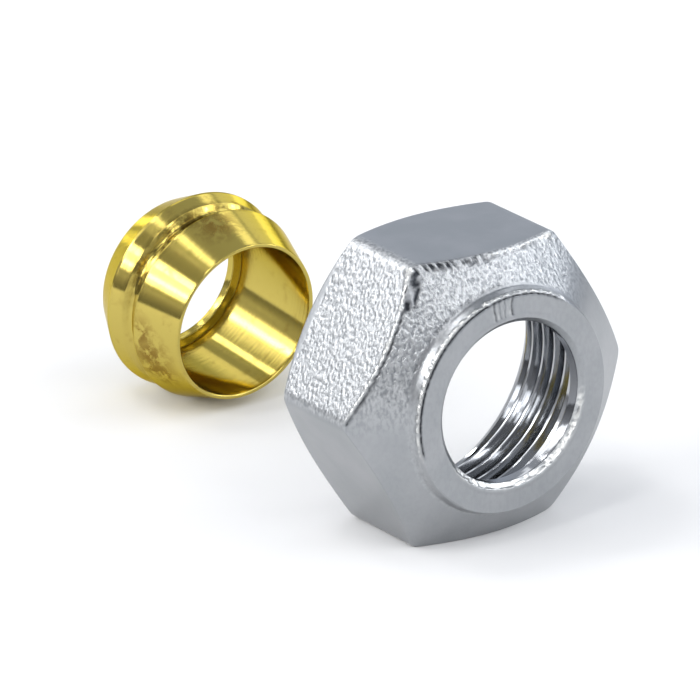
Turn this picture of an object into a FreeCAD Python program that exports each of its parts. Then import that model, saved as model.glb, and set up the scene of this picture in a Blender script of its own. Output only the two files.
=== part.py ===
import FreeCAD, Part
import math
import os

# Copper pipe compression adapter, in millimetres, +Z up: a hexagonal compression nut with a
# G 3/4 internal thread, and the turned compression ring that it presses round a copper pipe.
# Both lie along Y on one floor at Z = 0: the nut on one of its flats with its collar
# facing -Y, the ring on its shoulder and flange with its thin rim facing the nut's open end.
# Stations are distances along a piece's own axis, counted from the end that faces -Y.

# The pipe that the adapter holds
pipe_diameter = 16.0
pipe_wall = 1.0

# The nut's thread, drawn as level grooves a pitch apart
thread_major_diameter = 26.441
thread_height = 0.92
thread_pitch = 1.814
thread_crest_width = 0.4
thread_root_width = 0.45

# The nut's outside
wall_over_thread = 1.7795    # from the thread's roots to the flats: a 30 mm spanner size
nut_length = 16.45
corner_round = 1.4
edge_round = 0.25
front_cone_angle = 35.6      # between the front cone's side and the nut's end face
back_cone_angle = 32.9       # between the back cone's side and the nut's end face
back_land_inset = 0.1        # from the flats in to the edge of the back face
collar_radius = 11.85        # where the collar's side runs into the front cone
collar_height = 1.27
collar_draft_angle = 17.5
collar_edge_round = 0.3
collar_foot_fillet = 0.4

# The nut's inside, from the collar back
pipe_hole_clearance = 0.4    # between the pipe and the wall of its hole in the collar
pipe_hole_depth = 1.7
pipe_hole_chamfer = 0.5
seat_half_angle = 45.0
flange_clearance = 0.21      # between the ring's flange and the guide bore behind the seat
guide_length = 0.8
relief_width = 1.97
relief_clearance = 0.13      # between the thread's roots and the relief's floor
mouth_clearance = 0.83       # between the thread's roots and the rim of the entry chamfer
entry_half_angle = 36.0

# The ring's outside, from its thin rim back: the walls are measured over the bore
rim_wall = 0.4
rim_edge_round = 0.1
cone_length = 5.32
cone_half_angle = 19.2
bearing_round = 0.2          # shared by the shoulder and the flange, which the ring lies on
groove_wall = 1.15
groove_drop = 0.58
groove_floor = 1.3
groove_fillet = 0.45
groove_rise = 0.5
knee_wall = 2.0
knee_round = 0.15
second_cone_length = 1.43
flange_wall = 2.54
flange_land = 0.3
taper_length = 3.67
taper_end_wall = 0.59

# The ring's inside
ring_bore_clearance = 0.15   # between the pipe and the ring's bore
bore_edge_chamfer = 0.1
stop_length = 1.0            # the lip at the back that the pipe's end comes up against
stop_clearance = 0.1         # between the pipe's bore and the lip's
stop_edge_round = 0.1

# How the pieces lie: the gap from the nut's open end to the ring's thin rim, and the ring's
# axis a little to one side of the nut's
piece_gap = 28.11
ring_side_step = -0.59

origin = FreeCAD.Vector(0, 0, 0)
lengthwise = FreeCAD.Vector(0, 1, 0)
crosswise = FreeCAD.Vector(1, 0, 0)


def corner_arc(before, corner, after, radius):
    """The arc that touches both legs of a corner: its first, middle and last points and centre."""
    leg_in = (before - corner).normalize()
    leg_out = (after - corner).normalize()
    half_angle = leg_in.getAngle(leg_out) / 2
    bisector = (leg_in + leg_out).normalize()
    reach = radius / math.tan(half_angle)
    centre = corner + bisector * (radius / math.sin(half_angle))
    return corner + leg_in * reach, centre - bisector * radius, corner + leg_out * reach, centre


def corner_arcs(outline):
    """The arc at each corner (radius, station, round) of a closed outline, or None if it is sharp."""
    corners = [FreeCAD.Vector(radius, station, 0) for radius, station, _ in outline]
    arcs = []
    for index, (_, _, round_radius) in enumerate(outline):
        before = corners[index - 1]
        after = corners[(index + 1) % len(corners)]
        arc = corner_arc(before, corners[index], after, round_radius) if round_radius > 0 else None
        arcs.append(arc)
    return arcs


def turned(outline):
    """The solid that a closed outline of corners (radius, station, round) sweeps about Y."""
    edges = []
    legs = []
    for (radius, station, _), arc in zip(outline, corner_arcs(outline)):
        if arc is None:
            corner = FreeCAD.Vector(radius, station, 0)
            legs.append((corner, corner))
        else:
            first, middle, last, _ = arc
            legs.append((first, last))
            edges.append(Part.Arc(first, middle, last).toShape())
    for (_, leg_start), (leg_end, _) in zip(legs, legs[1:] + legs[:1]):
        edges.append(Part.makeLine(leg_start, leg_end))
    wire = Part.Wire(Part.__sortEdges__(edges))
    return Part.Face(wire).revolve(origin, lengthwise, 360)


def hexagon_bar(flat_distance, length, round_radius):
    """A hexagonal bar along Y with its flats facing +Z and -Z and its long corners rounded."""
    corner_radius = flat_distance / math.cos(math.pi / 6)
    points = []
    for sixth in range(7):
        angle = sixth * math.pi / 3
        points.append(FreeCAD.Vector(math.cos(angle), 0, math.sin(angle)) * corner_radius)
    bar = Part.Face(Part.makePolygon(points)).extrude(lengthwise * length)
    corners = [edge for edge in bar.Edges if abs(edge.tangentAt(edge.FirstParameter).y) > 0.99]
    return bar.makeFillet(round_radius, corners)


def face_cone_rise(radial_step, face_angle):
    """How far a cone's side moves along the axis over a radial step."""
    return radial_step * math.tan(math.radians(face_angle))


def bore_cone_length(radial_step, half_angle):
    """The length of a bore's cone over a radial step."""
    return radial_step / math.tan(math.radians(half_angle))


# The ring's section
pipe_radius = pipe_diameter / 2
ring_bore_radius = pipe_radius + ring_bore_clearance
stop_radius = pipe_radius - pipe_wall + stop_clearance
rim_radius = ring_bore_radius + rim_wall
shoulder_radius = rim_radius + cone_length * math.tan(math.radians(cone_half_angle))
groove_radius = ring_bore_radius + groove_wall
groove_start = cone_length + groove_drop
groove_end = groove_start + groove_floor
knee_radius = ring_bore_radius + knee_wall
knee_station = groove_end + groove_rise
flange_radius = ring_bore_radius + flange_wall
flange_start = knee_station + second_cone_length
flange_end = flange_start + flange_land
ring_length = flange_end + taper_length
taper_end_radius = ring_bore_radius + taper_end_wall
stop_station = ring_length - stop_length
shoulder = (shoulder_radius, cone_length, bearing_round)
flange = (flange_radius, flange_start, bearing_round)

ring_outline = [
    (ring_bore_radius + bore_edge_chamfer, 0, 0),
    (rim_radius, 0, rim_edge_round),
    shoulder,
    (groove_radius, groove_start, groove_fillet),
    (groove_radius, groove_end, groove_fillet),
    (knee_radius, knee_station, knee_round),
    flange,
    (flange_radius, flange_end, bearing_round),
    (taper_end_radius, ring_length, bearing_round),
    (stop_radius, ring_length, stop_edge_round),
    (stop_radius, stop_station, stop_edge_round),
    (ring_bore_radius, stop_station, 0),
    (ring_bore_radius, bore_edge_chamfer, 0),
]
ring = turned(ring_outline)

# The nut's section, with a blank wide enough for the hexagon's corners
thread_root_radius = thread_major_diameter / 2
thread_radius = thread_root_radius - thread_height
flat_radius = thread_root_radius + wall_over_thread
blank_radius = flat_radius / math.cos(math.pi / 6) + corner_round
front_cone_end = collar_height + face_cone_rise(blank_radius - collar_radius, front_cone_angle)
back_land_radius = flat_radius - back_land_inset
back_cone_start = nut_length - face_cone_rise(blank_radius - back_land_radius, back_cone_angle)
collar_face_radius = collar_radius - collar_height * math.tan(math.radians(collar_draft_angle))
pipe_hole_radius = pipe_radius + pipe_hole_clearance
guide_radius = flange_radius + flange_clearance
guide_start = pipe_hole_depth + bore_cone_length(guide_radius - pipe_hole_radius, seat_half_angle)
relief_start = guide_start + guide_length
relief_radius = thread_root_radius + relief_clearance
thread_start = relief_start + relief_width
mouth_radius = thread_root_radius + mouth_clearance
thread_end = nut_length - bore_cone_length(mouth_radius - thread_radius, entry_half_angle)

# The thread's outline from the relief to the entry cone: whole ridges, and then the foot of
# one more that the cone cuts off
thread_flank_run = (thread_pitch - thread_crest_width - thread_root_width) / 2
ridge_width = thread_crest_width + 2 * thread_flank_run
room_for_ridges = thread_end - thread_start - thread_flank_run - thread_crest_width
ridge_count = int(room_for_ridges / thread_pitch) + 1
thread_outline = []
for ridge in range(ridge_count):
    ridge_start = thread_start + ridge * thread_pitch
    crest_start = ridge_start + thread_flank_run
    thread_outline.append((thread_root_radius, ridge_start, 0))
    thread_outline.append((thread_radius, crest_start, 0))
    thread_outline.append((thread_radius, crest_start + thread_crest_width, 0))
    thread_outline.append((thread_root_radius, ridge_start + ridge_width, 0))
entry_slope = math.tan(math.radians(entry_half_angle))
flank_slope = thread_height / thread_flank_run
last_foot = thread_start + ridge_count * thread_pitch
cut_rise = thread_root_radius + flank_slope * last_foot - thread_radius + entry_slope * thread_end
cut_station = cut_rise / (flank_slope + entry_slope)
cut_radius = thread_radius + entry_slope * (cut_station - thread_end)
if cut_radius < thread_root_radius:
    thread_outline.append((thread_root_radius, last_foot, 0))
else:
    cut_radius = thread_root_radius
    cut_station = thread_end + bore_cone_length(thread_height, entry_half_angle)
thread_outline.append((cut_radius, cut_station, 0))

nut_outline = [
    (pipe_hole_radius + pipe_hole_chamfer, 0, 0),
    (collar_face_radius, 0, collar_edge_round),
    (collar_radius, collar_height, collar_foot_fillet),
    (blank_radius, front_cone_end, 0),
    (blank_radius, back_cone_start, 0),
    (back_land_radius, nut_length, 0),
    (mouth_radius, nut_length, 0),
    *reversed(thread_outline),
    (relief_radius, thread_start, 0),
    (relief_radius, relief_start, 0),
    (guide_radius, relief_start, 0),
    (guide_radius, guide_start, 0),
    (pipe_hole_radius, pipe_hole_depth, 0),
    (pipe_hole_radius, pipe_hole_chamfer, 0),
]

# The turned blank starts in the middle of a flat, so that its seam stays clear of the corners
blank = turned(nut_outline)
blank.rotate(origin, lengthwise, 30)
nut = blank.common(hexagon_bar(flat_radius, nut_length, corner_round)).Solids[0]

# The cones' edges on the flats and the long corners are softened: they alone are curved
# and lie outside the circle that touches the flats
cone_edges = []
for edge in nut.Edges:
    stops = [edge.valueAt(edge.FirstParameter), edge.valueAt(edge.LastParameter)]
    nearest = min(math.hypot(stop.x, stop.z) for stop in stops)
    if edge.Curve.TypeId != "Part::GeomLine" and nearest > back_land_radius + back_land_inset / 2:
        cone_edges.append(edge)
nut = nut.makeFillet(edge_round, cone_edges).Solids[0]

# The ring lies on its shoulder and its flange. Both have the same round, so the line through
# the centres of the two rounds is level when both touch the floor.
ring_arcs = corner_arcs(ring_outline)
shoulder_centre = ring_arcs[ring_outline.index(shoulder)][3]
flange_centre = ring_arcs[ring_outline.index(flange)][3]
tilt = math.atan2(flange_centre.x - shoulder_centre.x, flange_centre.y - shoulder_centre.y)
rim_centre_height = bearing_round + shoulder_centre.x * math.cos(tilt) - shoulder_centre.y * math.sin(tilt)
rim_centre_station = nut_length + piece_gap
ring.rotate(origin, crosswise, math.degrees(tilt))
ring.translate(FreeCAD.Vector(ring_side_step, rim_centre_station, rim_centre_height))
nut.translate(FreeCAD.Vector(0, 0, flat_radius))

# The origin is on the floor, under the middle of the whole length
ring_reach = ring_length * math.cos(tilt) + taper_end_radius * math.sin(tilt)
to_origin = FreeCAD.Vector(0, -(rim_centre_station + ring_reach) / 2, 0)

os.makedirs("parts", exist_ok=True)
for node, shape in (("compression_nut", nut), ("compression_ring", ring)):
    shape.translate(to_origin)
    shape.exportStep(f"parts/{node}.step")
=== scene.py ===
import math
import bpy
import bmesh
from mathutils import Matrix, Vector, noise


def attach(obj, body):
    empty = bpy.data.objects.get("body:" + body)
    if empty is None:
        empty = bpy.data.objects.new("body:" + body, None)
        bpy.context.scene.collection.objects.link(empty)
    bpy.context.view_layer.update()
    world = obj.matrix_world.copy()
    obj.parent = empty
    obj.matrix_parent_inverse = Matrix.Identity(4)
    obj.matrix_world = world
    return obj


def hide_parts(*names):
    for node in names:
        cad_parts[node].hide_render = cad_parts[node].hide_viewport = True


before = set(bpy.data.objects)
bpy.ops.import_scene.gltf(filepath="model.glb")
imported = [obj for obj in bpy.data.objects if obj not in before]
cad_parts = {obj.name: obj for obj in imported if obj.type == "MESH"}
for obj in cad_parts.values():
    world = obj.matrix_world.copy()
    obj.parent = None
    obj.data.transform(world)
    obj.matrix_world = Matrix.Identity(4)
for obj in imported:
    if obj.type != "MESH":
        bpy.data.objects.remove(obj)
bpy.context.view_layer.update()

MM = 0.001

# Where the two pieces lie in the frame, in millimetres. Stations count along +Y from the nut's
# collar face; sections are written as (radius, station).
FACE_STATION = -29.1744      # the collar's face, along Y in the frame
AXIS_HEIGHT = 15.0           # the nut's axis over the floor
RIM_STATION = 44.56          # the middle of the ring's thin rim
RIM_SIDE_STEP = -0.59
RIM_HEIGHT = 9.8818
RING_TILT = math.radians(4.8253)

RIM_CENTRE = (RIM_SIDE_STEP * MM, (FACE_STATION + RIM_STATION) * MM, RIM_HEIGHT * MM)
RING_AXIS = (0, math.cos(RING_TILT), math.sin(RING_TILT))
# Brown stains on the ring, low on its -X side and on top: where in the frame, and how far they reach
STAINS = [((-10.7 * MM, 19.9 * MM, 9.4 * MM), 2.6 * MM), ((-9.9 * MM, 19.2 * MM, 7.2 * MM), 3.4 * MM),
          ((-8.9 * MM, 19.0 * MM, 5.2 * MM), 3.0 * MM), ((-2.1 * MM, 18.4 * MM, 19.9 * MM), 3.0 * MM)]

# The ring's section, from its thin rim back
BORE_RADIUS, RIM_RADIUS, SHOULDER_RADIUS, GROOVE_RADIUS = 8.15, 8.55, 10.4026, 9.3
KNEE_RADIUS, FLANGE_RADIUS, BACK_END_RADIUS, STOP_RADIUS = 10.15, 10.69, 8.74, 7.1
SHOULDER_STATION, KNEE_STATION, STOP_STATION, RING_LENGTH = 5.32, 7.7, 12.1, 13.1
GROOVE_START, GROOVE_END = 5.9, 7.2
FLANGE_START, FLANGE_END = 9.13, 9.43
RING_EDGE_ROUND = 0.2
RING_SEGMENTS = 300

# The nut
FLAT_RADIUS = 15.0
FLAT_WIDTH = 2 * FLAT_RADIUS * math.tan(math.pi / 6)     # between two long corners, were they sharp
LONG_CORNER_ROUND = 1.4
CONE_EDGE_ROUND = 0.25
COLLAR_RADIUS = 11.85
COLLAR_HEIGHT = 1.27
COLLAR_FACE_RADIUS = 11.45
FRONT_CONE_SLOPE = math.tan(math.radians(35.6))
BACK_CONE_SLOPE = math.tan(math.radians(32.9))
LAND_RADIUS = 14.9
NUT_LENGTH = 16.45
MOUTH_RADIUS = 14.05
ENTRY_SLOPE = math.tan(math.radians(36.0))
CREST_RADIUS = 12.3
ROOT_RADIUS = 13.22
PITCH = 1.814
CREST_HALF_WIDTH, FLANK_RUN = 0.12, 0.48
FIRST_TURN_STATION = 5.737   # of the thread's first crest, at +X
THREAD_TURNS = 7             # with the turns that the relief and the mouth cut off
RELIEF_RADIUS = 13.35
RELIEF_START = 5.0
RELIEF_END = 6.97
RELIEF_WALL_SLOPE = 2.6
GUIDE_RADIUS = 10.9
GUIDE_START = 4.2
HOLE_RADIUS = 8.4
HOLE_DEPTH = 1.7
HOLE_CHAMFER = 0.5
CUT_ROWS = 17                # steps of the section that are cut bright, up to the hole's chamfer

# How close points have to lie to become one, in metres, and how sharp an edge has to be to show
RING_SEAM, THREAD_SEAM, NUT_SEAM, NO_LENGTH = 1e-7, 2e-7, 3e-7, 1e-7
NUT_SHARP_EDGE, RING_SHARP_EDGE = math.radians(50), math.radians(40)

# Side middles of the hexagon, anticlockwise from +X as seen from behind the nut
SIDE_MIDDLES = [30, 90, 150, 210, 270, 330]
SIDE_STEPS = [34, 112, 106, 44, 26, 30]
CORNER_STEPS = 6
TOP_SIDE, BLASTED_SIDE = 90, 150

# The nut's forged skin, in millimetres
SKIN_SHARES = ("blasted", "fringe", "lip", "crease", "sunk")
GRAIN_CELLS = 3.0            # in a millimetre: real shot is finer, and this is as coarse as shows
GRAIN_STRETCH = 0.6
GRAIN_HEIGHT = 0.05
LIP_CELLS, LIP_HEIGHT = 1.5, 0.13
BREAK_CELLS, CREASE_DEPTH = 2.4, 0.1
MOST_LIP = 2.4               # a lip or a crease is at most so many times this height or depth
# Along the blasted flat's front edge from its middle, half length, off the edge, half width, height
FLASH_BEADS = [(-8.15, 0.35, 0.3, 0.45, 2.4), (-7.0, 0.6, 0.3, 0.22, 1.7), (-6.0, 0.8, 0.25, 0.14, 0.9),
               (-4.45, 0.25, 0.0, 0.25, 1.6), (-0.9, 0.25, 0.1, 0.3, 1.2)]
FLASH_HOLLOWS = [(-8.4, 0.3, -0.6, 0.25, 2.0), (-7.5, 0.8, -0.95, 0.6, 1.6), (-6.3, 0.9, -1.3, 0.18, 2.4),
                 (-4.95, 0.5, -0.6, 0.3, 2.0), (-6.0, 0.8, 0.0, 0.1, 1.4)]
FLASH_OVAL = (-6.0, 0.85, -0.55, 0.5)
# The pressed patch is smooth, and the shader paints it white as a highlight
TOP_PATCH = (-7.7, 0.7, -0.6, 0.5)          # a pressed white patch at the top flat's other corner
TORN_PATCH = (TOP_PATCH[0] - FLAT_WIDTH, *TOP_PATCH[1:])
# Across the collar's face: where in degrees, half width, height or depth
RIDGES = [(92.4, 0.18, 1.0), (94.3, 0.1, 0.5), (97.3, 0.12, 0.6), (100.8, 0.14, 0.9), (103.7, 0.12, 0.6)]
SCORES = [(90.7, 0.15, 0.8), (95.6, 0.08, 0.45), (98.8, 0.08, 0.45), (102.3, 0.12, 0.8)]
NOTCH_ANGLE = 105.6
UPPER_LEFT, UNDER_HOLE = 125, 285           # round the collar, in degrees

# The room round the object: how high on its walls, and how grey
ROOM_GREYS = [(0.02, 0.28), (0.22, 0.74), (0.5, 0.56), (0.8, 0.45), (1.0, 0.48)]
FLOOR_HALF_WIDTH = 3         # in metres
FLOOR_GLOW = 0.03            # of the floor as the camera and reflections see it
LAMP_DISTANCE = 0.9          # in metres
# Each lamp's azimuth and elevation, its width and height seen from the object, all in degrees, and
# its radiance
LAMPS = {
    "left_softbox": (142, 28, 58, 13, 3.1),
    "left_core": (126, 31, 9, 7, 7.5),
    "left_strip": (152, 14, 14, 5, 2.8),
    "back_left_softbox": (108, 35.5, 30, 12, 1.9),
    "upper_left_softbox": (136, 55, 14, 16, 2.0),
    "edge_softbox": (-177, 32, 36, 22, 2.1),
    "edge_core": (172, 41, 12, 8, 5.2),
    "edge_line": (172, 27, 12, 4, 5.0),
    "back_strip": (99, 46.5, 7, 3.5, 10.0),
    "top_strip": (158, 75, 60, 4, 2.3),
    "low_right_softbox": (27, 14, 12, 14, 1.6),
    "middle_right_softbox": (25, 31, 12, 17, 0.6),
    "right_softbox": (28, 49, 16, 11, 1.6),
    "back_right_softbox": (62, 44, 18, 10, 1.2),
    "first_taper_strip": (73.5, 4, 3, 7, 7.0),
    "second_taper_strip": (82.5, 4, 3, 7, 7.0),
    "front_softbox": (-32, 30, 62, 24, 1.2),
    "front_top_softbox": (-65, 51, 60, 14, 1.9),
    "over_camera_softbox": (-112, 48, 30, 7, 3.8),
    "first_groove_spot": (-52, 22, 7, 6, 13.0),
    "second_groove_spot": (-34, 13, 8, 6, 13.0),
    "third_groove_spot": (-86, 31, 6, 6, 12.0),
    "fourth_groove_spot": (-139, 25, 6, 6, 12.0),
    "thread_patch": (-163, 34, 8, 8, 9.0),
    "thread_spot": (-154, 62, 9, 6, 9.0),
    "first_thread_core": (155, 34, 9, 6, 12.0),
    "second_thread_core": (132, 67, 9, 6, 12.0),
}

# The camera: its lens in pixels of a frame so wide, and its place from the middle of the collar's face
LENS_PIXELS, FRAME_PIXELS, SENSOR_WIDTH = 9000, 700, 36.0
CAMERA_FROM_COLLAR = (-500.39, -655.80, 330.81)
CAMERA_FORWARD = (0.54981, 0.75051, -0.36667)
CAMERA_RIGHT = (0.80573, -0.59227, -0.00409)
CAMERA_UP = (0.22024, 0.29319, 0.93034)


def srgb(code):
    """A colour written as sRGB hex, as the linear colour a shader takes."""
    channels = [int(code[i:i + 2], 16) / 255 for i in (1, 3, 5)]
    return tuple([c / 12.92 if c <= 0.04045 else ((c + 0.055) / 1.055) ** 2.4 for c in channels] + [1.0])


def node(tree, kind, links=None, **settings):
    """Adds a node with its settings. Links gives each input a value, an output, or a node whose first
    output it takes."""
    made = tree.nodes.new(kind)
    for name, value in settings.items():
        setattr(made, name, value)
    for socket, value in (links or {}).items():
        source = value.outputs[0] if isinstance(value, bpy.types.Node) else value
        if isinstance(source, bpy.types.NodeSocket):
            tree.links.new(source, made.inputs[socket])
        else:
            made.inputs[socket].default_value = source
    return made


def new_object(name, data):
    """An object for a mesh, a lamp or a camera, put into the scene."""
    made = bpy.data.objects.new(name, data)
    bpy.context.scene.collection.objects.link(made)
    return made


# ---------------------------------------------------------------- sections
def corner_points(before, corner, after, radius, steps):
    """Points on the arc that rounds a corner of a section, from leg to leg."""
    corner = Vector(corner)
    leg_in = (Vector(before) - corner).normalized()
    leg_out = (Vector(after) - corner).normalized()
    half = leg_in.angle(leg_out) / 2
    bisector = (leg_in + leg_out).normalized()
    centre = corner + bisector * (radius / math.sin(half))
    first = corner + leg_in * (radius / math.tan(half)) - centre
    last = corner + leg_out * (radius / math.tan(half)) - centre
    sweep = first.angle_signed(last)
    points = []
    for step in range(steps + 1):
        turn = -sweep * step / steps
        c, s = math.cos(turn), math.sin(turn)
        points.append(centre + Vector((first.x * c - first.y * s, first.x * s + first.y * c)))
    return points


def section_points(corners, closed):
    """Section points from corners (radius, station, round, arc steps, steps to the next corner)."""
    runs = []
    count = len(corners)
    for index, (radius, station, rounding, arc_steps, _) in enumerate(corners):
        ends = not closed and index in (0, count - 1)
        if rounding > 0 and not ends:
            before, after = corners[index - 1][:2], corners[(index + 1) % count][:2]
            runs.append(corner_points(before, (radius, station), after, rounding, arc_steps))
        else:
            runs.append([Vector((radius, station))])
    points = []
    for index, run in enumerate(runs):
        points.extend(run)
        if index == count - 1 and not closed:
            break
        start, stop = run[-1], runs[(index + 1) % count][0]
        steps = corners[index][4]
        points.extend(start.lerp(stop, step / steps) for step in range(1, steps))
    return points


def hexagon_radius(angle):
    """Polar radius of the hexagon with rounded corners; its corners point along +X and every 60 degrees."""
    off_middle = abs(angle % (math.pi / 3) - math.pi / 6)
    centre_distance = (FLAT_RADIUS - LONG_CORNER_ROUND) / math.cos(math.pi / 6)
    off_corner = math.pi / 6 - off_middle
    if off_corner >= corner_half_angle():
        return FLAT_RADIUS / math.cos(off_middle)
    across = centre_distance * math.sin(off_corner)
    return centre_distance * math.cos(off_corner) + math.sqrt(LONG_CORNER_ROUND ** 2 - across ** 2)


def corner_half_angle():
    """Half the angle that a rounded corner of the hexagon takes up, seen from the axis."""
    reach = (FLAT_RADIUS - LONG_CORNER_ROUND) * math.tan(math.pi / 6)
    return math.pi / 6 - math.atan2(reach, FLAT_RADIUS)


def nut_angles():
    """The angles of the nut's meridians: even over each flat, and closer round the corners."""
    half_corner = corner_half_angle()
    angles = []
    for middle, steps in zip(SIDE_MIDDLES, SIDE_STEPS):
        first = math.radians(middle - 30) + half_corner
        last = math.radians(middle + 30) - half_corner
        angles += [first + (last - first) * step / steps for step in range(steps)]
        angles += [last + 2 * half_corner * step / CORNER_STEPS for step in range(CORNER_STEPS)]
    return angles


def cone_edge(angle):
    """Where the front cone runs out on the nut's side at this angle: its radius and station."""
    reach = hexagon_radius(angle)
    return reach, COLLAR_HEIGHT + (reach - COLLAR_RADIUS) * FRONT_CONE_SLOPE


def nut_meridian(angle):
    """The nut's section at one angle, from the thread relief round the outside to the mouth."""
    reach, front = cone_edge(angle)
    back = NUT_LENGTH - (reach - LAND_RADIUS) * BACK_CONE_SLOPE
    return section_points([
        (RELIEF_RADIUS, RELIEF_END, 0, 0, 2),
        (RELIEF_RADIUS, RELIEF_START, 0, 0, 3),
        (GUIDE_RADIUS, RELIEF_START, 0, 0, 2),
        (GUIDE_RADIUS, GUIDE_START, 0, 0, 4),
        (HOLE_RADIUS, HOLE_DEPTH, 0.06, 2, 3),
        (HOLE_RADIUS, HOLE_CHAMFER, 0.1, 2, 4),
        (HOLE_RADIUS + HOLE_CHAMFER, 0, 0.16, 4, 16),
        (COLLAR_FACE_RADIUS, 0, 0.32, 7, 5),
        (COLLAR_RADIUS, COLLAR_HEIGHT, 0.55, 6, 34),
        (reach, front, CONE_EDGE_ROUND, 6, 78),
        (reach, back, CONE_EDGE_ROUND, 5, 6),
        (LAND_RADIUS, NUT_LENGTH, 0.08, 2, 2),
        (MOUTH_RADIUS, NUT_LENGTH, 0, 0, 1),
    ], closed=False)


def in_frame(radius, angle, station):
    """A point of the nut in the frame, in metres."""
    return Vector((radius * math.cos(angle), FACE_STATION + station,
                   AXIS_HEIGHT + radius * math.sin(angle))) * MM


# ---------------------------------------------------------------- geometry nodes
def new_tree(name, whole=(), lengths=(), places=()):
    """A Geometry Nodes tree and its named inputs: whole numbers, lengths, places and the material."""
    tree = bpy.data.node_groups.new(name, "GeometryNodeTree")
    tree.interface.new_socket("Geometry", in_out="OUTPUT", socket_type="NodeSocketGeometry")
    for kind, names in (("Geometry", ["Geometry"]), ("Int", whole), ("Float", lengths), ("Vector", places),
                        ("Material", ["Material"])):
        for item in names:
            tree.interface.new_socket(item, in_out="INPUT", socket_type="NodeSocket" + kind)
    return tree, node(tree, "NodeGroupInput").outputs


def end_tree(tree, shape, material):
    """Ends a tree with its instances made real and its material set."""
    real = node(tree, "GeometryNodeRealizeInstances", {0: shape})
    dressed = node(tree, "GeometryNodeSetMaterial", {"Geometry": real, "Material": material})
    node(tree, "NodeGroupOutput", {0: dressed})
    return tree


def run_tree(obj, tree, values):
    """Runs a Geometry Nodes tree on an object and leaves its result as the object's plain mesh."""
    modifier = obj.modifiers.new(tree.name, "NODES")
    modifier.node_group = tree
    for item in tree.interface.items_tree:
        if item.in_out == "INPUT" and item.name in values:
            modifier[item.identifier] = values[item.name]
    bpy.context.view_layer.update()
    evaluated = obj.evaluated_get(bpy.context.evaluated_depsgraph_get())
    mesh = bpy.data.meshes.new_from_object(evaluated)
    obj.modifiers.remove(modifier)
    obj.data = mesh
    return obj


def swept_grid(tree, columns, rows):
    """A grid of unit steps, with each vertex's column and row as whole numbers."""
    steps = [node(tree, "ShaderNodeMath", {0: count, 1: 1.0}, operation="SUBTRACT")
             for count in (columns, rows)]
    grid = node(tree, "GeometryNodeMeshGrid", {"Size X": steps[0], "Size Y": steps[1],
                                               "Vertices X": columns, "Vertices Y": rows})
    place = node(tree, "ShaderNodeSeparateXYZ", {0: node(tree, "GeometryNodeInputPosition")})
    indices = []
    for axis, length in zip(("X", "Y"), steps):
        shifted = node(tree, "ShaderNodeMath", {0: length, 1: 0.5, 2: place.outputs[axis]},
                       operation="MULTIPLY_ADD")
        indices.append(node(tree, "ShaderNodeMath", {0: shifted}, operation="ROUND"))
    return grid, *indices


def cloud_point(tree, cloud, index):
    """The parts of the place of the cloud's point with this index."""
    place = node(tree, "GeometryNodeSampleIndex", {
        "Geometry": cloud, "Value": node(tree, "GeometryNodeInputPosition"), "Index": index},
        data_type="FLOAT_VECTOR")
    return node(tree, "ShaderNodeSeparateXYZ", {0: place}).outputs


def laps_and_rest(tree, index, count):
    """How many whole times a count goes into an index, and what is left over."""
    laps = node(tree, "ShaderNodeMath", {0: index, 1: count}, operation="DIVIDE")
    laps = node(tree, "ShaderNodeMath", {0: node(tree, "ShaderNodeMath", {0: laps, 1: 1e-4})},
                operation="FLOOR")
    taken = node(tree, "ShaderNodeMath", {0: laps, 1: count}, operation="MULTIPLY")
    return laps, node(tree, "ShaderNodeMath", {0: index, 1: taken}, operation="SUBTRACT")


def swung_round(tree, radius, angle, height):
    """How far across and how high a point is, at this radius and angle about an axis at this height."""
    cosine = node(tree, "ShaderNodeMath", {0: angle}, operation="COSINE")
    sine = node(tree, "ShaderNodeMath", {0: angle}, operation="SINE")
    return (node(tree, "ShaderNodeMath", {0: radius, 1: cosine}, operation="MULTIPLY"),
            node(tree, "ShaderNodeMath", {0: radius, 1: sine, 2: height}, operation="MULTIPLY_ADD"))


def turned_tree():
    """Turns a closed section, given as points (radius, station), about Y and lays it in its place."""
    tree, value = new_tree("turned_section", ["Segments"], ["Tilt"], ["Rim Centre"])
    size = node(tree, "GeometryNodeAttributeDomainSize", {"Geometry": value["Geometry"]})
    columns = node(tree, "ShaderNodeMath", {0: value["Segments"], 1: 1.0})
    rows = node(tree, "ShaderNodeMath", {0: size.outputs["Point Count"], 1: 1.0})
    grid, column, row = swept_grid(tree, columns, rows)
    index = node(tree, "ShaderNodeMath", {0: row, 1: size.outputs["Point Count"]}, operation="MODULO")
    section = cloud_point(tree, value["Geometry"], index)
    share = node(tree, "ShaderNodeMath", {0: column, 1: value["Segments"]}, operation="DIVIDE")
    angle = node(tree, "ShaderNodeMath", {0: share, 1: 2 * math.pi}, operation="MULTIPLY")
    across, upward = swung_round(tree, section["X"], angle, 0.0)
    place = node(tree, "ShaderNodeCombineXYZ", {"X": across, "Y": section["Y"], "Z": upward})
    swept = node(tree, "GeometryNodeSetPosition", {"Geometry": grid, "Position": place})
    closed = node(tree, "GeometryNodeMergeByDistance", {"Geometry": swept, "Distance": RING_SEAM})
    tilt = node(tree, "ShaderNodeCombineXYZ", {"X": value["Tilt"]})
    laid = node(tree, "GeometryNodeTransform", {"Geometry": closed, "Rotation": tilt,
                                                "Translation": value["Rim Centre"]})
    return end_tree(tree, laid, value["Material"])


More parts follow.
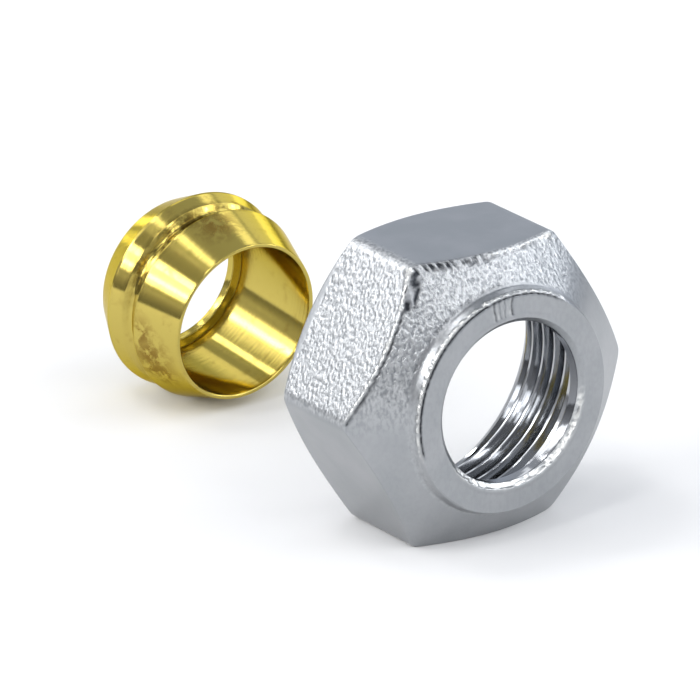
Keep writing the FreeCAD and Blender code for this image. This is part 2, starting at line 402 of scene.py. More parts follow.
def thread_tree():
    """Sweeps one pitch of a thread's profile along its helix, between a relief and an entry chamfer.

    The object's first points are the profile (radius, step along the axis), the rest the meridians'
    angles. Each row of the sheet climbs one pitch a turn, and is cut off by the cones at both ends."""
    tree, value = new_tree("internal_thread", ["Profile Points", "Angles", "Turns"], [
        "Pitch", "First Station", "Relief End", "Relief Radius", "Relief Slope", "Mouth Station",
        "Mouth Radius", "Entry Slope", "Axis Height", "Face Station"])
    points = value["Profile Points"]
    columns = node(tree, "ShaderNodeMath", {0: value["Angles"], 1: 1.0})
    rows = node(tree, "ShaderNodeMath", {0: points, 1: value["Turns"], 2: 1.0}, operation="MULTIPLY_ADD")
    grid, column, row = swept_grid(tree, columns, rows)
    turn, step = laps_and_rest(tree, row, points)
    profile = cloud_point(tree, value["Geometry"], step)
    # The last column is the first again, a whole lap on
    lap, angle_step = laps_and_rest(tree, column, value["Angles"])
    angle_index = node(tree, "ShaderNodeMath", {0: angle_step, 1: points})
    angle = node(tree, "ShaderNodeMath", {
        0: lap, 1: 2 * math.pi, 2: cloud_point(tree, value["Geometry"], angle_index)["X"]},
        operation="MULTIPLY_ADD")
    # Right-handed: seen along +Y the thread goes away as it turns clockwise
    laps_back = node(tree, "ShaderNodeMath", {0: angle, 1: -2 * math.pi}, operation="DIVIDE")
    pitches = node(tree, "ShaderNodeMath", {0: turn, 1: laps_back})
    climbed = node(tree, "ShaderNodeMath", {0: pitches, 1: value["Pitch"], 2: value["First Station"]},
                   operation="MULTIPLY_ADD")
    station = node(tree, "ShaderNodeMath", {0: climbed, 1: profile["Y"]})
    kept = node(tree, "ShaderNodeClamp", {0: station, 1: value["Relief End"], 2: value["Mouth Station"]})
    # The relief's wall and the entry chamfer each cut what reaches in past them
    radius = profile["X"]
    for start, end, slope, rim in ((value["Relief End"], kept, "Relief Slope", "Relief Radius"),
                                   (kept, value["Mouth Station"], "Entry Slope", "Mouth Radius")):
        past = node(tree, "ShaderNodeMath", {0: start, 1: end}, operation="SUBTRACT")
        cone = node(tree, "ShaderNodeMath", {0: past, 1: value[slope], 2: value[rim]},
                    operation="MULTIPLY_ADD")
        radius = node(tree, "ShaderNodeMath", {0: cone, 1: radius}, operation="MAXIMUM")
    across, upward = swung_round(tree, radius, angle, value["Axis Height"])
    along = node(tree, "ShaderNodeMath", {0: kept, 1: value["Face Station"]})
    place = node(tree, "ShaderNodeCombineXYZ", {"X": across, "Y": along, "Z": upward})
    swept = node(tree, "GeometryNodeSetPosition", {"Geometry": grid, "Position": place})
    closed = node(tree, "GeometryNodeMergeByDistance", {"Geometry": swept, "Distance": THREAD_SEAM})
    return end_tree(tree, closed, value["Material"])


def drawn_out(tree, place):
    """A place with its height drawn out, so that the grain of a pattern is longer upwards."""
    return node(tree, "ShaderNodeVectorMath", {0: place, 1: (1.0, 1.0, GRAIN_STRETCH)}, operation="MULTIPLY")


def noise_swing(tree, place, cells, detail):
    """Noise over the mesh with this many cells per metre, from about -0.5 to 0.5."""
    waves = node(tree, "ShaderNodeTexNoise", {
        "Vector": place, "Scale": cells, "Detail": detail, "Roughness": 0.5})
    return node(tree, "ShaderNodeMath", {0: waves.outputs["Fac"], 1: 0.5}, operation="SUBTRACT")


def skin_tree():
    """Lays the blast's grain, the ragged forging lips and the creases beside them on the nut's skin."""
    tree, value = new_tree("forged_skin", lengths=[
        "Grain Cells", "Grain Height", "Lip Cells", "Lip Height", "Break Cells", "Crease Depth"],
        places=["Seed"])
    place = node(tree, "ShaderNodeVectorMath", {0: node(tree, "GeometryNodeInputPosition"), 1: value["Seed"]})
    blasted, fringe, lip, crease, sunk = (
        node(tree, "GeometryNodeInputNamedAttribute", {"Name": name}, data_type="FLOAT").outputs["Attribute"]
        for name in SKIN_SHARES)
    # Where the grain ends it fades out in teeth, not along a line
    swing = noise_swing(tree, place, value["Lip Cells"], 3.0)
    toothed = node(tree, "ShaderNodeMath", {0: swing, 1: 1.3, 2: fringe}, operation="MULTIPLY_ADD")
    inside = node(tree, "ShaderNodeMapRange", {0: toothed, 1: 0.3, 2: 0.75})
    share = node(tree, "ShaderNodeMath", {0: inside, 1: blasted}, operation="MULTIPLY")
    # The blast only dents, so its grain lies under the surface
    grain = noise_swing(tree, drawn_out(tree, place), value["Grain Cells"], 2.0)
    for operation, level in (("SUBTRACT", 0.32), ("MINIMUM", 0.0), ("MULTIPLY", share),
                             ("MULTIPLY", value["Grain Height"])):
        grain = node(tree, "ShaderNodeMath", {0: grain, 1: level}, operation=operation)
    # Lips and creases come and go along their length
    flutter = noise_swing(tree, place, value["Break Cells"], 2.0)
    breaks = node(tree, "ShaderNodeMapRange", {0: flutter, 1: -0.1, 2: 0.08, 3: 0.15, 4: 1.0})
    fades = node(tree, "ShaderNodeMapRange", {0: flutter, 1: -0.12, 2: 0.08, 3: 0.5, 4: 1.0})
    lip = node(tree, "ShaderNodeMath", {0: lip, 1: breaks}, operation="MULTIPLY")
    crease = node(tree, "ShaderNodeMath", {0: crease, 1: fades}, operation="MULTIPLY", use_clamp=True)
    lifted = node(tree, "ShaderNodeMath", {0: lip, 1: value["Lip Height"], 2: grain},
                  operation="MULTIPLY_ADD")
    hollow = node(tree, "ShaderNodeMath", {0: crease, 1: value["Crease Depth"]}, operation="MULTIPLY")
    lowered = node(tree, "ShaderNodeMath", {0: sunk, 1: value["Lip Height"], 2: hollow},
                   operation="MULTIPLY_ADD")
    height = node(tree, "ShaderNodeMath", {0: lifted, 1: lowered}, operation="SUBTRACT")
    outward = node(tree, "GeometryNodeInputNormal").outputs["Normal"]
    offset = node(tree, "ShaderNodeVectorMath", {0: outward, "Scale": height}, operation="SCALE")
    skin = value["Geometry"]
    # The crease share is stored to paint shade into the creases, and the lip share to paint highlights on the
    # lips
    for name, level in (("grain", share), ("painted_crease_shade", crease), ("painted_lip_highlight", lip)):
        skin = node(tree, "GeometryNodeStoreNamedAttribute", {"Geometry": skin, "Name": name, "Value": level},
                    data_type="FLOAT", domain="POINT")
    moved = node(tree, "GeometryNodeSetPosition", {"Geometry": skin, "Offset": offset})
    return end_tree(tree, moved, value["Material"])


def point_cloud(name, points):
    """A mesh of loose points, for a tree to read by index."""
    mesh = bpy.data.meshes.new(name)
    mesh.from_pydata([tuple(p) for p in points], [], [])
    return new_object(name, mesh)


# ---------------------------------------------------------------- materials
# A Map Range takes the range from its inputs 1 and 2 to its inputs 3 and 4
def new_material(name):
    """A material with nothing in its tree, and the tree."""
    made = bpy.data.materials.new(name)
    made.use_nodes = True
    made.node_tree.nodes.clear()
    return made, made.node_tree


def set_stops(ramp_node, stops):
    """Gives a colour ramp its stops, each a place and a colour. It comes with two."""
    elements = ramp_node.color_ramp.elements
    for index, (place, colour) in enumerate(stops):
        stop = elements[index] if index < 2 else elements.new(place)
        stop.position, stop.color = place, colour


def per_millimetre(cells):
    """A texture's scale, in object coordinates in metres, for this many cells per millimetre."""
    return cells / MM


def nickel_plate():
    """Satin nickel plate over a hot-forged, grain-blasted brass blank: a cool grey that glitters where
    the blast left its grain and runs smoothly over the flats that were broached afterwards."""
    made, tree = new_material("satin_nickel_over_forged_brass")
    where = node(tree, "ShaderNodeTexCoord").outputs["Object"]
    blasted, painted_lip_highlight, crease_shade = (node(tree, "ShaderNodeAttribute", attribute_name=name).outputs["Fac"]
                             for name in ("grain", "painted_lip_highlight", "painted_crease_shade"))
    cloud = node(tree, "ShaderNodeTexNoise", {"Vector": where, "Scale": per_millimetre(0.25), "Detail": 3.0})
    tone = node(tree, "ShaderNodeValToRGB", {0: cloud.outputs["Fac"]})
    set_stops(tone, [(0.35, srgb("#9C9FA2")), (0.65, srgb("#A4A6A9"))])
    # The blast's grain is painted lighter on its tops and darker in its pits, as painted highlight and
    # painted shade
    grain = node(tree, "ShaderNodeTexNoise", {
        "Vector": drawn_out(tree, where), "Scale": per_millimetre(GRAIN_CELLS), "Detail": 2.0,
        "Roughness": 0.5})
    tops = node(tree, "ShaderNodeMapRange", {0: grain.outputs["Fac"], 1: 0.36, 2: 0.6, 3: 0.0, 4: 1.0})
    grain_painted_light = node(tree, "ShaderNodeMix", {"Factor": tops, 6: srgb("#909396"), 7: srgb("#BABCBE")},
                   data_type="RGBA").outputs[2]
    # Lips are painted white as a highlight, and creases are painted dark as shade
    skin = tone.outputs["Color"]
    for share, colour in ((blasted, grain_painted_light), (painted_lip_highlight, srgb("#E9EAE8")), (crease_shade, srgb("#313337"))):
        skin = node(tree, "ShaderNodeMix", {"Factor": share, 6: skin, 7: colour}, data_type="RGBA").outputs[2]
    depth = node(tree, "ShaderNodeMapRange", {0: blasted, 1: 0.3, 2: 1.6, 3: 0.005 * MM, 4: 0.15 * MM})
    relief = node(tree, "ShaderNodeBump", {
        "Strength": 1.0, "Distance": depth, "Height": grain.outputs["Fac"]})
    gloss = node(tree, "ShaderNodeMapRange", {0: blasted, 3: 0.3, 4: 0.33})
    shader = node(tree, "ShaderNodeBsdfPrincipled", {
        "Base Color": skin, "Metallic": 1.0, "Roughness": gloss, "Normal": relief})
    node(tree, "ShaderNodeOutputMaterial", {0: shader})
    return made


def cut_nickel():
    """Nickel plate over cut brass, in the hole, seat and thread: bright and nearly a mirror, so it shows
    dark and white bands, and a shade less bright on the thread's crests."""
    made, tree = new_material("bright_nickel_over_cut_thread")
    where = node(tree, "ShaderNodeTexCoord").outputs["Object"]
    from_axis = node(tree, "ShaderNodeVectorMath", {0: where, 1: (0, 0, AXIS_HEIGHT * MM)},
                     operation="SUBTRACT")
    across = node(tree, "ShaderNodeVectorMath", {0: from_axis, 1: (1.0, 0.0, 1.0)}, operation="MULTIPLY")
    radius = node(tree, "ShaderNodeVectorMath", {0: across}, operation="LENGTH").outputs["Value"]
    depth = node(tree, "ShaderNodeMapRange", {
        0: radius, 1: (CREST_RADIUS + 0.03) * MM, 2: (CREST_RADIUS + 0.16) * MM})
    # Painted shade: the right of the hole's wall is painted darker
    right_wall_shade = node(tree, "ShaderNodeMapRange", {
        0: node(tree, "ShaderNodeSeparateXYZ", {0: where}).outputs["X"], 1: 6.5 * MM, 2: 7.5 * MM})
    narrow = node(tree, "ShaderNodeMath", {0: radius, 1: (HOLE_RADIUS + 0.3) * MM}, operation="LESS_THAN")
    right_wall_shade = node(tree, "ShaderNodeMath", {0: right_wall_shade, 1: narrow}, operation="MULTIPLY")
    tone = srgb("#B2B4B7")
    for share, code in ((depth, "#AEB0B3"), (right_wall_shade, "#7C7E82")):
        tone = node(tree, "ShaderNodeMix", {"Factor": share, 6: tone, 7: srgb(code)},
                    data_type="RGBA").outputs[2]
    # The tool has chattered a little
    chatter = node(tree, "ShaderNodeTexNoise", {"Vector": where, "Scale": per_millimetre(0.5), "Detail": 1.0})
    relief = node(tree, "ShaderNodeBump", {
        "Strength": 0.15, "Distance": 0.07 * MM, "Height": chatter.outputs["Fac"]})
    gloss = node(tree, "ShaderNodeMapRange", {0: depth, 3: 0.12, 4: 0.08})
    shader = node(tree, "ShaderNodeBsdfPrincipled", {
        "Base Color": tone, "Metallic": 1.0, "Roughness": gloss, "Specular Tint": srgb("#AEB0B4"),
        "Normal": relief})
    node(tree, "ShaderNodeOutputMaterial", {0: shader})
    return made


def turned_brass():
    """Bright brass as it comes off the lathe: mirror-like round the ring, with fine tool marks that draw
    every reflection out into a streak along it, brown stains where it was held, and painted shade in its
    groove."""
    made, tree = new_material("bright_brass_as_turned")
    where = node(tree, "ShaderNodeTexCoord").outputs["Object"]
    from_rim = node(tree, "ShaderNodeVectorMath", {0: where, 1: RIM_CENTRE}, operation="SUBTRACT")
    along = node(tree, "ShaderNodeVectorMath", {0: from_rim, 1: RING_AXIS},
                 operation="DOT_PRODUCT").outputs["Value"]
    around = node(tree, "ShaderNodeVectorMath", {0: from_rim, 1: RING_AXIS}, operation="CROSS_PRODUCT")
    # Tool marks a third of a millimetre apart, coarser than real ones to show, wandering round the ring
    wander = node(tree, "ShaderNodeVectorMath", {0: from_rim, "Scale": 0.012}, operation="SCALE")
    spread = node(tree, "ShaderNodeCombineXYZ", {"Y": along})
    marks = node(tree, "ShaderNodeTexNoise", {
        "Vector": node(tree, "ShaderNodeVectorMath", {0: spread, 1: wander}), "Scale": per_millimetre(3.0),
        "Detail": 3.0, "Roughness": 0.6})
    # Fingered brass goes brown in blotches: most at the stains, and faintly all over
    blotch = node(tree, "ShaderNodeTexNoise", {
        "Vector": where, "Scale": per_millimetre(0.8), "Detail": 6.0, "Roughness": 0.65,
        "Distortion": 0.4}).outputs["Fac"]
    stained = 0.0
    for middle, reach in STAINS:
        gap = node(tree, "ShaderNodeVectorMath", {0: where, 1: middle}, operation="DISTANCE").outputs["Value"]
        share = node(tree, "ShaderNodeMapRange", {0: gap, 1: 0.2 * reach, 2: reach, 3: 1.0, 4: 0.0})
        stained = node(tree, "ShaderNodeMath", {0: stained, 1: share}, operation="MAXIMUM")
    brown = node(tree, "ShaderNodeMapRange", {0: blotch, 1: 0.42, 2: 0.54})
    brown = node(tree, "ShaderNodeMath", {0: brown, 1: stained}, operation="MULTIPLY")
    faint = node(tree, "ShaderNodeMapRange", {0: blotch, 1: 0.56, 2: 0.72, 3: 0.0, 4: 0.35})
    brown = node(tree, "ShaderNodeMath", {0: brown, 1: faint}, operation="MAXIMUM")
    # Painted shade: the upper half of the groove, outside only, is painted dark in blots
    off_groove = node(tree, "ShaderNodeMath", {0: along, 1: 6.5 * MM}, operation="SUBTRACT")
    off_groove = node(tree, "ShaderNodeMath", {0: off_groove}, operation="ABSOLUTE")
    groove = node(tree, "ShaderNodeMapRange", {0: off_groove, 1: 0.8 * MM, 2: 1.7 * MM, 3: 0.9, 4: 0.0})
    radius = node(tree, "ShaderNodeVectorMath", {0: around}, operation="LENGTH").outputs["Value"]
    outside = node(tree, "ShaderNodeMath", {0: radius, 1: 8.5 * MM}, operation="GREATER_THAN")
    height = node(tree, "ShaderNodeSeparateXYZ", {0: where}).outputs["Z"]
    upper = node(tree, "ShaderNodeMapRange", {0: height, 1: 11 * MM, 2: 15 * MM})
    groove_shade = node(tree, "ShaderNodeMapRange", {0: blotch, 1: 0.42, 2: 0.56, 3: 0.15, 4: 1.0})
    for share in (groove, outside, upper):
        groove_shade = node(tree, "ShaderNodeMath", {0: groove_shade, 1: share}, operation="MULTIPLY")
    tone = srgb("#C3B05C")
    for share, code in ((brown, "#92783C"), (groove_shade, "#64501F")):
        tone = node(tree, "ShaderNodeMix", {"Factor": share, 6: tone, 7: srgb(code)},
                    data_type="RGBA").outputs[2]
    gloss = node(tree, "ShaderNodeMapRange", {0: brown, 3: 0.15, 4: 0.32})
    relief = node(tree, "ShaderNodeBump", {
        "Strength": 0.35, "Distance": 0.05 * MM, "Height": marks.outputs["Fac"]})
    shader = node(tree, "ShaderNodeBsdfPrincipled", {
        "Base Color": tone, "Metallic": 1.0, "Roughness": gloss, "Specular Tint": srgb("#E9DB9A"),
        "Anisotropic": 0.9, "Anisotropic Rotation": 0.25, "Tangent": around, "Normal": relief})
    node(tree, "ShaderNodeOutputMaterial", {0: shader})
    return made


def white_floor():
    """A plain white sheet that keeps the shadow and looks white to the eye and in reflections."""
    made, tree = new_material("white_studio_sheet")
    matt = node(tree, "ShaderNodeBsdfDiffuse", {"Color": srgb("#E3E3E3")})
    rays = node(tree, "ShaderNodeLightPath").outputs
    seen = rays["Is Camera Ray"]
    for name in ("Is Glossy Ray", "Is Transmission Ray"):
        seen = node(tree, "ShaderNodeMath", {0: seen, 1: rays[name]}, operation="MAXIMUM")
    level = node(tree, "ShaderNodeMath", {0: seen, 1: FLOOR_GLOW}, operation="MULTIPLY")
    glow = node(tree, "ShaderNodeEmission", {"Strength": level})
    node(tree, "ShaderNodeOutputMaterial", {0: node(tree, "ShaderNodeAddShader", {0: matt, 1: glow})})
    return made


# ---------------------------------------------------------------- the nut
def bell(distance, width):
    """1 at no distance, falling off smoothly to next to nothing at twice the width."""
    return math.exp(-(distance / width) ** 2)


def off_angle(degrees, middle):
    """The way round from a middle angle, from -180 to 180 degrees."""
    return (degrees - middle + 180) % 360 - 180


def ramp(value, start, length):
    """Rises from 0 at the start to 1 over this length."""
    return min(1.0, max(0.0, (value - start) / length))


def arc(degrees, middle, half, soft):
    """1 near a middle angle, and falling to 0 at this half angle over the last soft degrees."""
    return ramp(half - abs(off_angle(degrees, middle)), 0, soft)


def cone_edge_place(angle, radius, station):
    """Where a point lies by the edge between a flat and the front cone: the flat's middle angle, the way
    along the edge from the flat's middle, and the way off it, back over the flat or down the cone."""
    degrees = math.degrees(angle) % 360
    middle = SIDE_MIDDLES[int(degrees // 60)]
    along = FLAT_RADIUS * math.tan(math.radians(off_angle(degrees, middle)))
    reach, front = cone_edge(angle)
    if radius > reach - 0.02 and station > front:
        return middle, along, station - front
    return middle, along, -(reach - radius) / math.cos(math.atan(FRONT_CONE_SLOPE))


def blasted_share(angle, radius, station, middle, along, off):
    """How strongly the blast's grain shows at a point of the nut, from 0 to 1, and how far inside its
    ragged fringe the point lies."""
    degrees = math.degrees(angle) % 360
    if station > NUT_LENGTH - 1 or radius < HOLE_RADIUS + 0.08:
        return 0.0, 0.0
    if off > 0.1:
        # The grain of the blasted flat creeps over its two long corners, and ends ragged
        low, high = BLASTED_SIDE - 32.6, BLASTED_SIDE + 30.4
        return 0.8, 0.5 + min(0.5, max(-0.8, min(degrees - low, high - degrees) / 2.6))
    if radius < HOLE_RADIUS + HOLE_CHAMFER + 0.1:
        return 0.15, 1.0
    if radius < COLLAR_RADIUS - 0.2:
        return 0.1, 1.0
    if radius < COLLAR_RADIUS + 0.25:
        return 0.3, 1.0
    if middle in (TOP_SIDE, BLASTED_SIDE):
        # Torn and pressed places are smooth
        here = past_corner(middle, along)
        for place, long, beside, wide, *_ in [FLASH_OVAL, TORN_PATCH] + FLASH_HOLLOWS:
            if ((here - place) / (1.2 * long)) ** 2 + ((off - beside) / (1.3 * wide)) ** 2 < 1:
                return 0.1, 1.0
    return 0.06 + 1.5 * arc(degrees, 110, 75, 30), 1.0


def past_corner(middle, along):
    """The way along the blasted flat's front edge, counted on round the upper corner."""
    return along if middle == BLASTED_SIDE else along - FLAT_WIDTH


def lip_and_crease(angle, radius, station, middle, along, off):
    """How far the ragged lips stand up, the creases go down and the bare face lies back at a point
    of the nut, counted in whole lip heights and crease depths. The lips are also painted white as highlights
    and the creases dark as shade."""
    degrees = math.degrees(angle) % 360
    lip = crease = sunk = 0.0
    if radius > COLLAR_RADIUS + 0.5 and station < NUT_LENGTH - 3:
        true_off = off
        off += 0.16 * noise.noise(Vector((along * 1.9, middle, 0)))
        if middle == BLASTED_SIDE:
            # A lip along the edge, painted white as a highlight, and a crease below it, painted dark as shade
            lip = bell(off - 0.12, 0.2) * ramp(8.3 - along, 0, 0.4)
            crease = bell(off + 0.3, 0.16) * (1.0 if along > -4.6 else 0.25)
        elif middle == TOP_SIDE:
            # A torn lip on the right and the pressed patch, both painted white as highlights, and teeth of
            # crease hanging from the edge towards the flash, painted dark as shade
            place, long, beside, wide = TOP_PATCH
            patch = 1.5 * bell(along - place, long) * bell(off - beside, wide)
            right = 1 - ramp(along, 0.2, 1.5)
            lip = (0.9 * bell(off + 0.3, 0.16) * right + patch) * ramp(-true_off, 0, 0.2)
            teeth = ramp(noise.noise(Vector((along * 2.7, off * 0.5, 3))), -0.25, 0.3)
            leftward = 0.9 * ramp(along, 0.0, 1.0) + 0.9 * ramp(along, 3.8, 1.5)
            crease = bell(off + 0.4, 0.5) * leftward * teeth
            crease += bell(off + 0.65, 0.12) * 0.35 * right
        if middle == BLASTED_SIDE or (middle == TOP_SIDE and along > 7.8):
            # The torn flash by the upper corner: a bead, a rib, a second bead, an oval and a channel; the
            # beads are painted white as highlights and the hollows dark as shade
            here = past_corner(middle, along)
            for place, long, beside, wide, high in FLASH_BEADS:
                lip += high * bell(here - place, long) * bell(off - beside, wide)
            for place, long, beside, wide, deep in FLASH_HOLLOWS:
                crease += deep * bell(here - place, long) * bell(off - beside, wide)
    elif radius < HOLE_RADIUS + HOLE_CHAMFER + 0.45 and station < 0.6:
        # The chamfer of the hole is torn at the bottom, where its lip is painted white as a highlight
        torn = 0.12 * noise.noise(Vector((angle * 22, 0, 5)))
        sunk = lip = 1.7 * arc(degrees, UNDER_HOLE, 75, 15) * bell(radius - HOLE_RADIUS - 0.27 - torn, 0.25)
    elif station < 0.7 and HOLE_RADIUS + 0.7 < radius < COLLAR_RADIUS:
        # The collar's edge: a crease inside it painted dark as shade, a lip on it at the upper left painted
        # white as a highlight, and a notch
        torn = max(arc(degrees, 150, 48, 5), 0.7 * arc(degrees, 85, 32, 10))
        crease = 1.5 * torn * bell(radius - COLLAR_FACE_RADIUS + 0.1, 0.13)
        lip = 1.7 * arc(degrees, UPPER_LEFT, 75, 10) * bell(station - 0.3, 0.16)
        lip += 2.4 * bell(off_angle(degrees, NOTCH_ANGLE), 0.9) * bell(radius - COLLAR_RADIUS + 0.4, 0.4)
        lip = min(lip, 7 * station)
        if station < 0.02:
            # The face lies back between its ridges, so that they don't stand proud of the nut
            within = ramp(radius, HOLE_RADIUS + 0.7, 0.4) * ramp(COLLAR_RADIUS - radius, 0, 0.8)
            sunk = 0.35 * within

            def line_at(place, wide):
                bend = 0.9 * noise.noise(Vector((radius * 1.3, place * 3.7, 0)))
                return bell(math.radians(off_angle(degrees, place + bend)) * radius, wide)

            # The ridges are painted white as highlights and the scores dark as shade
            lip += sum(high * sunk * line_at(place, wide) for place, wide, high in RIDGES)
            crease += sum(deep * within * line_at(place, wide) for place, wide, deep in SCORES)
    elif radius > COLLAR_RADIUS - 0.1 and station < 2.5:
        # A shallow crease round the collar's foot, painted dark as a soft shadow line
        crease = 0.42 * arc(degrees, UPPER_LEFT, 40, 12) * bell(radius - COLLAR_RADIUS - 0.35, 0.3)
    return min(MOST_LIP, lip), min(MOST_LIP, crease), sunk


def skin_mesh(angles, rings):
    """The forged outside, from the hole's chamfer round to the mouth, with its skin's shares."""
    mesh = bpy.data.meshes.new("forged_outside")
    points, faces = [], []
    shares = {name: [] for name in SKIN_SHARES}
    rows = len(rings[0]) - CUT_ROWS
    for column, (angle, ring) in enumerate(zip(angles, rings)):
        following = (column + 1) % len(angles)
        for row, point in enumerate(ring[CUT_ROWS:]):
            points.append(in_frame(point.x, angle, point.y))
            place = cone_edge_place(angle, point.x, point.y)
            values = (blasted_share(angle, point.x, point.y, *place)
                      + lip_and_crease(angle, point.x, point.y, *place))
            # The first row is the seam with the hole's wall, so nothing moves it
            for kept, value in zip(shares.values(), values):
                kept.append(value if row > 0 else 0.0)
            if row < rows - 1:
                here, there = column * rows + row, following * rows + row
                faces.append((here, here + 1, there + 1, there))
    mesh.from_pydata(points, [], faces)
    for name, values in shares.items():
        mesh.attributes.new(name, "FLOAT", "POINT").data.foreach_set("value", values)
    return mesh


def thread_profile():
    """One pitch of the thread, from crest to crest: a narrow rounded crest, 55 degrees between the flanks."""
    root = CREST_HALF_WIDTH + FLANK_RUN
    half = [(0, CREST_RADIUS), (CREST_HALF_WIDTH, CREST_RADIUS + 0.01),
            (CREST_HALF_WIDTH + 0.02, CREST_RADIUS + 0.04),
            (CREST_HALF_WIDTH + FLANK_RUN * 0.5, CREST_RADIUS + 0.46),
            (root - 0.02, ROOT_RADIUS - 0.05), (root + 0.02, ROOT_RADIUS)]
    return half + [(PITCH - along, radius) for along, radius in reversed(half[1:])]


def build_nut(plate, bright):
    """The nut: its forged skin, its bright hole, seat and relief, and its thread, joined into one shell."""
    angles = nut_angles()
    rings = [nut_meridian(angle) for angle in angles]
    skin = run_tree(new_object("forged_outside", skin_mesh(angles, rings)), skin_tree(), {
        "Grain Cells": per_millimetre(GRAIN_CELLS), "Grain Height": GRAIN_HEIGHT * MM,
        "Lip Cells": per_millimetre(LIP_CELLS), "Break Cells": per_millimetre(BREAK_CELLS),
        "Lip Height": LIP_HEIGHT * MM, "Crease Depth": CREASE_DEPTH * MM,
        "Seed": (0.0, 0.0, 0.0), "Material": plate})
    profile = [(radius * MM, along * MM, 0) for along, radius in thread_profile()]
    cloud = point_cloud("thread_profile", profile + [(angle, 0, 0) for angle in angles])
    thread = run_tree(cloud, thread_tree(), {
        "Profile Points": len(profile), "Angles": len(angles), "Turns": THREAD_TURNS, "Pitch": PITCH * MM,
        "First Station": FIRST_TURN_STATION * MM, "Relief End": RELIEF_END * MM,
        "Relief Radius": RELIEF_RADIUS * MM, "Relief Slope": RELIEF_WALL_SLOPE,
        "Mouth Station": NUT_LENGTH * MM, "Mouth Radius": MOUTH_RADIUS * MM, "Entry Slope": ENTRY_SLOPE,
        "Axis Height": AXIS_HEIGHT * MM, "Face Station": FACE_STATION * MM, "Material": bright})

    body = bmesh.new()
    body.from_mesh(skin.data)
    skin_faces = len(body.faces)
    body.from_mesh(thread.data)
    columns = [[body.verts.new(in_frame(point.x, angle, point.y)) for point in ring[:CUT_ROWS + 1]]
               for angle, ring in zip(angles, rings)]
    for column, following in zip(columns, columns[1:] + columns[:1]):
        for row in range(CUT_ROWS):
            body.faces.new((column[row], following[row], following[row + 1], column[row + 1]))
    for index, face in enumerate(body.faces):
        face.smooth = True
        face.material_index = 0 if index < skin_faces else 1
    for piece in (skin, thread):
        bpy.data.objects.remove(piece)
    bmesh.ops.remove_doubles(body, verts=body.verts, dist=NUT_SEAM)
    bmesh.ops.dissolve_degenerate(body, edges=body.edges, dist=NO_LENGTH)
    bmesh.ops.recalc_face_normals(body, faces=body.faces)
    mesh = bpy.data.meshes.new("hexagon_nut")
    body.to_mesh(mesh)
    body.free()
    mesh.materials.append(plate)
    mesh.materials.append(bright)
    mesh.set_sharp_from_angle(angle=NUT_SHARP_EDGE)
    return new_object("hexagon_nut", mesh)


def ring_section():
    """The ring's closed section, from the mouth of its bore over the rim and back through the bore."""
    return section_points([
        (BORE_RADIUS + 0.1, 0, 0.03, 2, 1),
        (RIM_RADIUS, 0, 0.1, 4, 24),
        (SHOULDER_RADIUS, SHOULDER_STATION, RING_EDGE_ROUND, 6, 4),
        (GROOVE_RADIUS, GROOVE_START, 0.42, 6, 3),
        (GROOVE_RADIUS, GROOVE_END, 0.42, 6, 3),
        (KNEE_RADIUS, KNEE_STATION, 0.15, 4, 6),
        (FLANGE_RADIUS, FLANGE_START, RING_EDGE_ROUND, 5, 1),
        (FLANGE_RADIUS, FLANGE_END, RING_EDGE_ROUND, 5, 12),
        (BACK_END_RADIUS, RING_LENGTH, RING_EDGE_ROUND, 5, 5),
        (STOP_RADIUS, RING_LENGTH, 0.1, 4, 3),
        (STOP_RADIUS, STOP_STATION, 0.1, 4, 3),
        (BORE_RADIUS, STOP_STATION, 0.06, 2, 36),
        (BORE_RADIUS, 0.1, 0.03, 2, 1),
    ], closed=True)


def build_ring(brass):
    """The ring, turned from its section and laid on its shoulder and flange."""
    cloud = point_cloud("turned_ring", [(point.x * MM, point.y * MM, 0) for point in ring_section()])
    ring = run_tree(cloud, turned_tree(), {
        "Segments": RING_SEGMENTS, "Tilt": RING_TILT, "Rim Centre": RIM_CENTRE, "Material": brass})
    body = bmesh.new()
    body.from_mesh(ring.data)
    bmesh.ops.recalc_face_normals(body, faces=body.faces)
    for face in body.faces:
        face.smooth = True
    body.to_mesh(ring.data)
    body.free()
    ring.data.set_sharp_from_angle(angle=RING_SHARP_EDGE)
    return ring


# ---------------------------------------------------------------- studio
def from_angles(azimuth, elevation, distance):
    """A place over the floor, given by its azimuth from +X, its elevation and its distance in metres."""
    a, e = math.radians(azimuth), math.radians(elevation)
    return Vector((math.cos(e) * math.cos(a), math.cos(e) * math.sin(a), math.sin(e))) * distance


def soft_box(name, azimuth, elevation, wide, high, radiance):
    """An area lamp that takes up wide by high degrees as seen from the object, with this radiance."""
    lamp = bpy.data.lights.new(name, "AREA")
    lamp.shape = "RECTANGLE"
    lamp.size = 2 * LAMP_DISTANCE * math.tan(math.radians(wide / 2))
    lamp.size_y = 2 * LAMP_DISTANCE * math.tan(math.radians(high / 2))
    lamp.energy = radiance * math.pi * lamp.size * lamp.size_y
    made = new_object(name, lamp)
    made.location = from_angles(azimuth, elevation, LAMP_DISTANCE)
    made.rotation_euler = (-made.location).to_track_quat("-Z", "Y").to_euler()


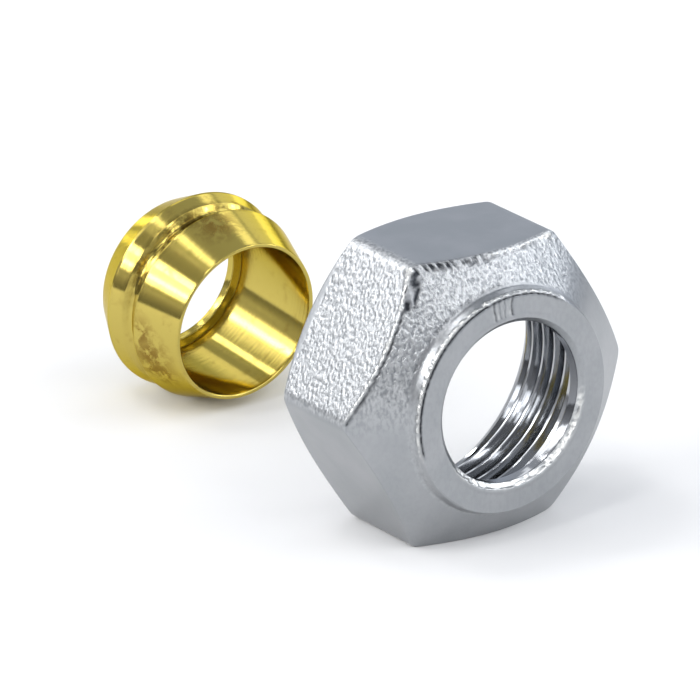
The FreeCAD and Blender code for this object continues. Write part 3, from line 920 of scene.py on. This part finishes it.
def build_studio():
    """The white floor, the grey room that the metal reflects, and the lamps."""
    scene = bpy.context.scene
    scene.view_settings.view_transform = "Standard"
    sheet = bpy.data.meshes.new("studio_floor")
    corners = [(x * FLOOR_HALF_WIDTH, y * FLOOR_HALF_WIDTH, 0)
               for x, y in ((-1, -1), (1, -1), (1, 1), (-1, 1))]
    sheet.from_pydata(corners, [], [(0, 1, 2, 3)])
    sheet.materials.append(white_floor())
    new_object("studio_floor", sheet)

    world = bpy.data.worlds.new("studio_room")
    scene.world = world
    world.use_nodes = True
    tree = world.node_tree
    tree.nodes.clear()
    direction = node(tree, "ShaderNodeSeparateXYZ", {
        0: node(tree, "ShaderNodeTexCoord").outputs["Generated"]}).outputs
    walls = node(tree, "ShaderNodeValToRGB", {0: direction["Z"]})
    set_stops(walls, [(height, (grey, grey, grey, 1)) for height, grey in ROOM_GREYS])
    side = node(tree, "ShaderNodeMapRange", {0: direction["X"], 1: -1.0, 2: 1.0, 3: 0.8, 4: 1.45})
    level = node(tree, "ShaderNodeMath", {0: walls, 1: side}, operation="MULTIPLY")
    # The light from the right is a little bluer, as from a window
    share = node(tree, "ShaderNodeMapRange", {0: direction["X"], 1: -1.0, 2: 1.0})
    tint = node(tree, "ShaderNodeMix", {"Factor": share, 6: srgb("#FCFCFF"), 7: srgb("#E8F1FF")},
                data_type="RGBA").outputs[2]
    sky = node(tree, "ShaderNodeBackground", {"Color": tint, "Strength": level})
    node(tree, "ShaderNodeOutputWorld", {0: sky})
    for name, lamp in LAMPS.items():
        soft_box(name, *lamp)


def build_camera():
    """The photograph's camera: a long lens nine tenths of a metre from the nut, looking down on it."""
    view = bpy.data.cameras.new("photograph")
    view.sensor_width = SENSOR_WIDTH
    view.lens = SENSOR_WIDTH * LENS_PIXELS / FRAME_PIXELS
    view.clip_start, view.clip_end = 0.05, 20
    made = new_object("photograph", view)
    turn = Matrix((CAMERA_RIGHT, CAMERA_UP, -Vector(CAMERA_FORWARD))).transposed().to_4x4()
    across, along, up = CAMERA_FROM_COLLAR
    place = Vector((across, along + FACE_STATION, up + AXIS_HEIGHT)) * MM
    made.matrix_world = Matrix.Translation(place) @ turn
    bpy.context.scene.camera = made


build_camera()
build_studio()
nut = build_nut(nickel_plate(), cut_nickel())
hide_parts("compression_nut")
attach(nut, "root")
ring = build_ring(turned_brass())
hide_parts("compression_ring")
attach(ring, "root")
